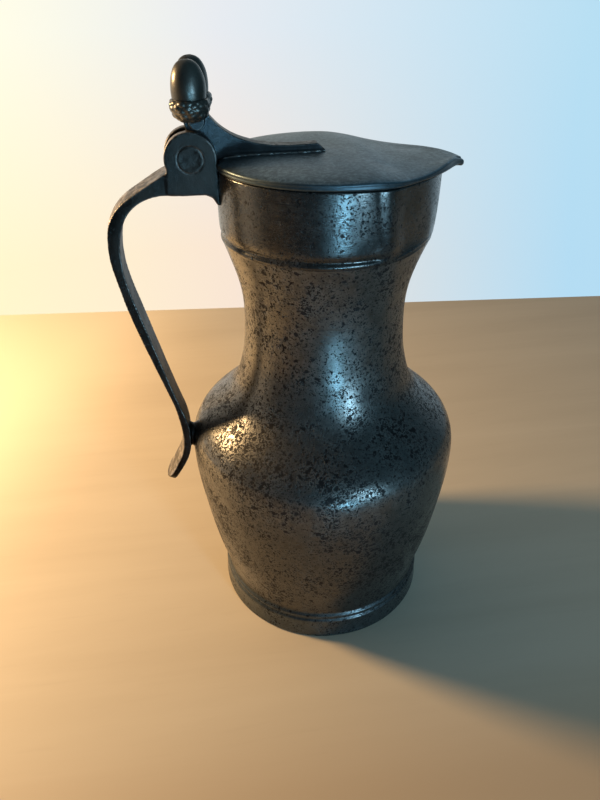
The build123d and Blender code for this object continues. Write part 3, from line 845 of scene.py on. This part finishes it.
def pewter(name, light, dark, rough, specks, seed=0.0, marks=1.0, zones=True, metal=0.74, gloss=0.5, lift=0.085,
           mottle=0.15):
    """Old pewter: grey metal, black corrosion specks in clusters, fine grain, turning marks."""
    t = Tree(name)
    p = t.shifted(seed * 0.37, seed * 0.21, seed * 0.53)
    broad = t.noise(17.0, 2.0, 0.5, 0.2, p)
    patch = t.noise(75.0, 3.0, 0.55, 0.3, p)
    big = t.noise(410.0, 2.5, 0.62, 0.0, p)
    mid = t.noise(780.0, 2.0, 0.6, 0.0, p)
    small = t.noise(1450.0, 2.0, 0.55, 0.0, p)
    grain = t.noise(1900.0, 2.0, 0.6, 0.0, p)
    smear = t.noise(1.0, 4.0, 0.6, 0.2, t.scaled(260.0, 260.0, 600.0, p))
    # how thickly the specks stand: most on the shoulder, fewer on the collar and the foot
    gather = t.add(t.remap(broad, 0.38, 0.62, -0.45, 0.45), t.remap(patch, 0.36, 0.64, -0.55, 0.55))
    if zones:
        d = t.remap(t.z, 0.014, 0.045, 0.62, 0.90)
        d = t.add(d, t.remap(t.z, 0.092, 0.116, 0.0, 0.12))
        d = t.add(d, t.remap(t.z, 0.140, 0.165, 0.0, -0.06))
        d = t.add(d, t.remap(t.z, 0.180, 0.212, 0.0, -0.20))
    else:
        d = 0.0
    up = t.add(t.mul(d, lift), t.mul(gather, 0.034))
    m1 = t.remap(t.math("SUBTRACT", big, t.math("SUBTRACT", 0.694 - specks, up)), 0.0, 0.024)
    m2 = t.remap(t.math("SUBTRACT", mid, t.math("SUBTRACT", 0.688 - specks, up)), 0.0, 0.030)
    m3 = t.remap(t.math("SUBTRACT", small, t.math("SUBTRACT", 0.666 - specks, up)), 0.0, 0.040, 0.0, 0.85)
    m4 = t.remap(t.math("SUBTRACT", smear, t.math("SUBTRACT", 0.670 - specks, t.mul(up, 0.8))), 0.0, 0.06, 0.0, 0.45)
    m = t.math("MAXIMUM", t.math("MAXIMUM", m1, m2), t.math("MAXIMUM", m3, m4))
    # rounded pits, crowded together in places
    ragged = t.mul(t.math("SUBTRACT", t.noise(1250.0, 2.0, 0.6, 0.0, p), 0.5), 0.60)
    crowd = t.math("SUBTRACT", t.mul(d, 0.50), 0.43 - 6.0 * specks)
    if zones:
        crowd = t.add(crowd, t.remap(t.z, 0.060, 0.100, 0.11, 0.0))
    for scale, bunch in ((390.0, 0.24), (690.0, 0.18), (1050.0, 0.10)):
        dist, pick = t.cells(scale, p)
        size = t.remap(t.add(pick, t.add(crowd, t.mul(gather, bunch))), 0.46, 0.98, 0.0, 0.49, "LINEAR")
        dot = t.remap(t.math("SUBTRACT", size, t.add(dist, ragged)), 0.0, 0.09, 0.0, 0.95)
        m = t.math("MAXIMUM", m, dot)
    tone = t.mix(t.remap(patch, 0.3, 0.7, 0.0, 1.0, "LINEAR"), dark, light)
    veil = t.remap(t.noise(240.0, 3.0, 0.6, 0.2, p), 0.42, 0.70, 0.0, 0.55)
    tone = t.mix(veil, tone, tuple(0.60 * c for c in dark))
    fine = t.noise(620.0, 5.0, 0.7, 0.1, t.shifted(0.4, 0.1, 0.2, p))
    tone = t.mix(t.remap(fine, 0.40, 0.52, mottle, 0.0), tone, tuple(0.35 * c for c in dark))
    tone = t.mix(t.remap(fine, 0.50, 0.64, 0.0, mottle), tone, tuple(min(1.0, 1.9 * c) for c in light))
    if zones:
        # below the shoulder the colour turns darker towards the bottom, over the belly and foot
        tone = t.mix(t.remap(t.z, 0.078, 0.104, 0.50, 0.0), tone, (0.018, 0.018, 0.018))
    else:
        # painted shade: faces of the lid that tilt away from straight up, mostly its rim and lower lip, are painted
        # darker
        s = t.nt.nodes.new("ShaderNodeSeparateXYZ")
        tc = t.nt.nodes.new("ShaderNodeTexCoord")
        t.link(tc.outputs["Normal"], s.inputs[0])
        tone = t.mix(t.remap(s.outputs[2], 0.40, 0.93, 0.88, 0.0), tone, tuple(0.28 * c for c in dark))
    col = t.mix(m, tone, (0.004, 0.004, 0.005))
    lines = t.noise(1.0, 3.0, 0.6, 0.0, t.scaled(14.0, 14.0, 1500.0, p))
    r = t.add(t.remap(patch, 0.3, 0.7, rough - 0.05, rough + 0.06, "LINEAR"), t.mul(m, 0.2))
    r = t.add(r, t.mul(t.math("SUBTRACT", lines, 0.5), 0.10))
    b = t.bump(t.math("SUBTRACT", 1.0, m), 0.00006)
    b = t.bump(grain, 0.000030, 1.0, b)
    b = t.bump(t.noise(620.0, 2.0, 0.5, 0.0, p), 0.00004, 1.0, b)
    b = t.bump(lines, 0.000010 * marks, 1.0, b)
    coat = t.mul(t.remap(m, 0.0, 1.0, gloss, 0.0, "LINEAR"), t.remap(grain, 0.40, 0.60, 0.55, 1.0, "LINEAR"))
    return t.shader(col, r, b, t.remap(m, 0.0, 1.0, metal, 0.3), coat=coat, Coat_Roughness=0.18, Specular_IOR_Level=0.25)


def dark_cast(name, light, dark, rough, seed=0.0, wear_and_lit_faces=0.6, metal=0.7, gloss=0.25, pit=1.0):
    """Dark patinated casting: pitted skin, brighter worn edges, and painted light on faces that point up and towards
    -X.
    """
    t = Tree(name)
    p = t.shifted(seed * 0.31, seed * 0.17, seed * 0.41)
    patch = t.noise(85.0, 3.0, 0.55, 0.2, p)
    pits = t.noise(620.0, 4.0, 0.6, 0.3, p)
    grain = t.noise(1700.0, 3.0, 0.6, 0.0, p)
    g = t.nt.nodes.new("ShaderNodeNewGeometry")
    edge = t.remap(g.outputs["Pointiness"], 0.508, 0.575)
    edge = t.mul(edge, t.remap(t.noise(300.0, 3.0, 0.6, 0.3, p), 0.38, 0.6, 0.15, 1.0))
    hollow = t.remap(g.outputs["Pointiness"], 0.42, 0.49, 1.0, 0.0)
    tone = t.mix(t.remap(patch, 0.32, 0.68, 0.0, 1.0, "LINEAR"), dark, light)
    tone = t.mix(t.mul(edge, wear_and_lit_faces), tone, (0.36, 0.355, 0.34))
    # painted light: faces that point up and towards -X, where the warm globe stands, are painted lighter in patches
    tc = t.nt.nodes.new("ShaderNodeTexCoord")
    s = t.nt.nodes.new("ShaderNodeSeparateXYZ")
    t.link(tc.outputs["Normal"], s.inputs[0])
    lit_faces_paint = t.math("SUBTRACT", t.mul(s.outputs[2], 0.80), t.mul(s.outputs[0], 0.45))
    lit_faces_paint = t.mul(t.remap(lit_faces_paint, 0.34, 0.78, 0.0, wear_and_lit_faces), t.remap(t.noise(210.0, 4.0, 0.65, 0.2, p), 0.40, 0.62, 0.15, 1.0))
    tone = t.mix(lit_faces_paint, tone, tuple(min(1.0, 5.0 * c + 0.28) for c in light))
    tone = t.mix(t.mul(hollow, 0.6), tone, tuple(0.3 * c for c in dark))
    m = t.remap(pits, 0.585, 0.64, 0.0, 0.8 * pit)
    col = t.mix(m, tone, (0.010, 0.010, 0.010))
    r = t.add(t.remap(patch, 0.3, 0.7, rough - 0.05, rough + 0.07, "LINEAR"), t.mul(m, 0.2))
    r = t.math("SUBTRACT", r, t.mul(edge, 0.10))
    b = t.bump(pits, 0.00005 * pit)
    b = t.bump(t.noise(190.0, 3.0, 0.55, 0.0, p), 0.00014 * pit, 1.0, b)
    b = t.bump(grain, 0.000030, 1.0, b)
    return t.shader(col, r, b, t.remap(m, 0.0, 1.0, metal, 0.4), coat=t.remap(m, 0.0, 1.0, gloss, 0.0), Coat_Roughness=0.24)


m_body = pewter("pewter_body", (0.142, 0.142, 0.136), (0.096, 0.097, 0.095), 0.33, 0.0, metal=0.88, gloss=0.6)
m_collar = pewter("pewter_collar", (0.088, 0.088, 0.086), (0.058, 0.060, 0.060), 0.27, 0.0, metal=0.90, gloss=0.5)
# painted light: the foot's pewter is painted lighter and bluer than the body's, for the cool window light on its band
m_foot = pewter("pewter_foot", (0.150, 0.188, 0.205), (0.105, 0.132, 0.146), 0.38, 0.0, metal=0.88, gloss=0.6)
# painted light: the lid's pewter is lighter than the body's and painted bluer, for the cool light it reflects
m_lid = pewter("pewter_lid", (0.222, 0.306, 0.358), (0.165, 0.232, 0.276), 0.42, -0.045, seed=2.0, marks=0.4, zones=False,
               metal=0.88, gloss=0.1, mottle=0.32)
m_handle = dark_cast("dark_handle", (0.024, 0.018, 0.015), (0.009, 0.007, 0.006), 0.42, 1.0, 0.95, metal=0.92, gloss=0.04)
m_lever = dark_cast("dark_lever", (0.026, 0.030, 0.033), (0.012, 0.015, 0.018), 0.42, 3.0, 0.6, metal=0.90, gloss=0.12)
m_acorn = dark_cast("dark_acorn", (0.078, 0.077, 0.068), (0.044, 0.043, 0.038), 0.38, 5.0, 0.06, metal=0.8, gloss=0.35, pit=0.5)
# painted highlight: the solder bead is painted far lighter than the lever, for the bright line along the arm's foot
m_solder_highlight = dark_cast("solder_painted_highlight", (0.30, 0.31, 0.31), (0.16, 0.17, 0.17), 0.38, 9.0, 0.1, metal=0.9, gloss=0.1)


def steel():
    t = Tree("drawn_steel")
    n1 = t.noise(1.0, 3.0, 0.6, 0.0, t.scaled(1800.0, 60.0, 1800.0))
    col = t.mix(t.remap(n1, 0.35, 0.65, 0.0, 1.0, "LINEAR"), (0.30, 0.29, 0.28), (0.42, 0.41, 0.40))
    return t.shader(col, t.remap(n1, 0.3, 0.7, 0.28, 0.42, "LINEAR"), t.bump(n1, 0.00001))


m_steel = steel()


def dress(ob, mat, body, node=None):
    ob.data.materials.clear()
    ob.data.materials.append(mat)
    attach(ob, body)
    if node:
        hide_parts(node)


dress(foot, m_foot, "pot", "foot_ring")
dress(base, m_body, "pot", "base_disc")
dress(belly, m_body, "pot", "belly")
dress(neck, m_body, "pot", "neck")
dress(collar, m_collar, "pot", "collar")
dress(spout, m_collar, "pot", "spout")
dress(handle, m_handle, "pot", "handle")
dress(strut, m_handle, "pot", "handle_strut")
dress(plug_near, m_handle, "pot", "pin_plug_near")
dress(plug_far, m_handle, "pot", "pin_plug_far")
dress(lid, m_lid, "lid", "lid_plate")
dress(lever, m_lever, "lid", "lid_lever")
dress(lever_bead, m_solder_highlight, "lid", None)
dress(acorn_near, m_acorn, "lid", "acorn_near")
dress(acorn_far, m_acorn, "lid", "acorn_far")
pin = nodes["hinge_pin"]
pin.data.materials.clear()
pin.data.materials.append(m_steel)

# ----------------------------------------------------------------------- stage
table_v = [(-520, -345), (2200, -345), (2200, 158.0), (-520, 422.7)]
tm = bpy.data.meshes.new("table_top")
tm.from_pydata([(x * MM, y * MM, 0.0) for x, y in table_v], [], [(0, 1, 2, 3)])
floor = bpy.data.objects.new("table_top", tm)
bpy.context.scene.collection.objects.link(floor)
t = Tree("pale_table")
grain = t.noise(1.0, 4.0, 0.55, 0.4, t.scaled(2.6, 26.0, 1.0))
fleck = t.noise(1.0, 3.0, 0.6, 0.0, t.scaled(22.0, 260.0, 1.0))
col = t.mix(t.remap(grain, 0.35, 0.65, 0.0, 1.0, "LINEAR"), (0.71, 0.615, 0.475), (0.77, 0.675, 0.53))
col = t.mix(t.remap(fleck, 0.55, 0.75, 0.0, 0.12), col, (0.58, 0.49, 0.37))
# painted light: the table is painted paler and warmer towards the left, under the warm globe
col = t.mix(t.remap(t.math("SUBTRACT", t.x, t.mul(t.y, 0.45)), -0.34, -0.18, 1.0, 0.0), col, (0.97, 0.87, 0.70))
# painted shade: the table is painted darker towards the front
col = t.mix(t.remap(t.y, -0.155, -0.085, 1.0, 0.0), col, (0.62, 0.485, 0.335))
t.shader(col, 0.55, t.bump(fleck, 0.00002), 0.0)
# seen from below the table is left clear
geo = t.nt.nodes.new("ShaderNodeNewGeometry")
clear = t.nt.nodes.new("ShaderNodeBsdfTransparent")
both = t.nt.nodes.new("ShaderNodeMixShader")
surf = t.out.inputs[0].links[0].from_socket
t.link(geo.outputs["Backfacing"], both.inputs[0])
t.link(surf, both.inputs[1])
t.link(clear.outputs[0], both.inputs[2])
t.link(both.outputs[0], t.out.inputs[0])
floor.data.materials.append(t.mat)

# surroundings: bright cool wall behind, warm to the left, dim room in front
world = bpy.data.worlds.new("room")
bpy.context.scene.world = world
world.use_nodes = True
wt = world.node_tree
wt.nodes.clear()
W = Tree.__new__(Tree)
W.nt = wt
wo = wt.nodes.new("ShaderNodeOutputWorld")
tc = wt.nodes.new("ShaderNodeTexCoord")
sep = wt.nodes.new("ShaderNodeSeparateXYZ")
wt.links.new(tc.outputs["Generated"], sep.inputs[0])
W.pos = tc.outputs["Generated"]
W.x, W.y, W.z = sep.outputs
side = W.remap(W.x, -0.75, 0.55, 0.0, 1.0, "LINEAR")
wall = W.mix(side, (1.30, 1.10, 0.84), (0.50, 0.66, 0.76))
behind = W.remap(W.math("SUBTRACT", W.y, W.mul(W.x, 0.30)), -0.05, 0.60)
height = W.remap(W.z, 0.08, 0.55, 1.0, 0.16)
room = W.mix(side, (0.085, 0.078, 0.070), (0.050, 0.112, 0.150))
lit = W.mix(W.mul(behind, height), room, wall)


def patch_of_sky(az, el, inner, outer, color):
    """Soft-edged bright patch of the room's surroundings, for reflections only."""
    a, e = math.radians(az), math.radians(el)
    n = wt.nodes.new("ShaderNodeVectorMath")
    n.operation = "DOT_PRODUCT"
    wt.links.new(tc.outputs["Generated"], n.inputs[0])
    n.inputs[1].default_value = (math.cos(a) * math.cos(e), math.sin(a) * math.cos(e), math.sin(e))
    f = W.remap(n.outputs["Value"], math.cos(math.radians(outer)), math.cos(math.radians(inner)))
    g = wt.nodes.new("ShaderNodeMix")
    g.data_type = "RGBA"
    g.blend_type = "ADD"
    g.clamp_result = False
    wt.links.new(f, g.inputs[0])
    wt.links.new(lit, g.inputs[6])
    g.inputs[7].default_value = (*color, 1.0)
    return g.outputs[2]


lit = patch_of_sky(-84.0, -19.0, 3.0, 16.0, (0.50, 1.15, 1.60))
lit = patch_of_sky(-81.5, -14.0, 1.5, 4.8, (22.5, 55.0, 79.0))
bg = wt.nodes.new("ShaderNodeBackground")
wt.links.new(lit, bg.inputs[0])
bg.inputs[1].default_value = 0.85
seen = wt.nodes.new("ShaderNodeBackground")
seen_side = W.remap(W.x, -0.42, 0.50, 0.0, 1.0, "LINEAR")
seen_low = W.remap(W.z, -0.34, -0.06, 0.0, 1.0, "LINEAR")
c_left = W.mix(seen_low, (1.12, 1.00, 0.60), (1.16, 1.10, 0.77))
c_right = W.mix(seen_low, (0.46, 0.72, 0.90), (0.48, 0.74, 0.90))
c_mid = W.mix(seen_low, (0.95, 0.79, 0.66), (0.81, 0.84, 0.88))
s1 = W.mix(W.remap(seen_side, 0.0, 0.5, 0.0, 1.0, "LINEAR"), c_left, c_mid)
s2 = W.mix(W.remap(seen_side, 0.5, 1.0, 0.0, 1.0, "LINEAR"), s1, c_right)
wt.links.new(s2, seen.inputs[0])
lp = wt.nodes.new("ShaderNodeLightPath")
ms = wt.nodes.new("ShaderNodeMixShader")
wt.links.new(lp.outputs["Is Camera Ray"], ms.inputs[0])
wt.links.new(bg.outputs[0], ms.inputs[1])
wt.links.new(seen.outputs[0], ms.inputs[2])
wt.links.new(ms.outputs[0], wo.inputs[0])


def lamp(name, az, el, dist, size, size_y, power, color, centre=(0.0, 0.0, 0.13), shape="RECTANGLE"):
    d = bpy.data.lights.new(name, "AREA")
    d.shape = shape
    d.size = size
    if shape in ("RECTANGLE", "ELLIPSE"):
        d.size_y = size_y
    d.energy = power
    d.color = color
    o = bpy.data.objects.new(name, d)
    bpy.context.scene.collection.objects.link(o)
    a, e = math.radians(az), math.radians(el)
    c = Vector(centre)
    o.location = c + dist * Vector((math.cos(a) * math.cos(e), math.sin(a) * math.cos(e), math.sin(e)))
    o.rotation_mode = "QUATERNION"
    o.rotation_quaternion = (o.location - c).to_track_quat("Z", "Y")
    o.visible_camera = False
    return o


lamp("cool_window", -66.0, 2.0, 1.2, 0.14, 0.32, 6.6, (0.42, 0.76, 1.0))
# warm globe to the left, behind
globe = bpy.data.lights.new("warm_globe", "POINT")
globe.shadow_soft_size = 0.05
globe.energy = 14.9
globe.color = (1.0, 0.63, 0.29)
globe_ob = bpy.data.objects.new("warm_globe", globe)
bpy.context.scene.collection.objects.link(globe_ob)
globe_ob.location = (-0.465, 0.179, 0.362)
globe_ob.visible_camera = False

# ---------------------------------------------------------------------- camera
cam_d = bpy.data.cameras.new("camera")
cam_d.lens = 29.23
cam_d.sensor_width = 36.0
cam_d.clip_start = 0.01
cam_d.clip_end = 20.0
cam = bpy.data.objects.new("camera", cam_d)
bpy.context.scene.collection.objects.link(cam)
fw = Vector((0.12346429, 0.82611884, -0.54980382))
rt = Vector((0.98812893, -0.15338711, -0.00858006))
up = Vector((0.09142097, 0.54221772, 0.83524975))
rot = Matrix((rt, up, -fw)).transposed()
cam.matrix_world = Matrix.Translation(Vector((-0.05400647, -0.28121165, 0.3072333))) @ rot.to_4x4()
bpy.context.scene.camera = cam
bpy.context.scene.view_settings.view_transform = "Standard"

bpy.context.view_layer.update()
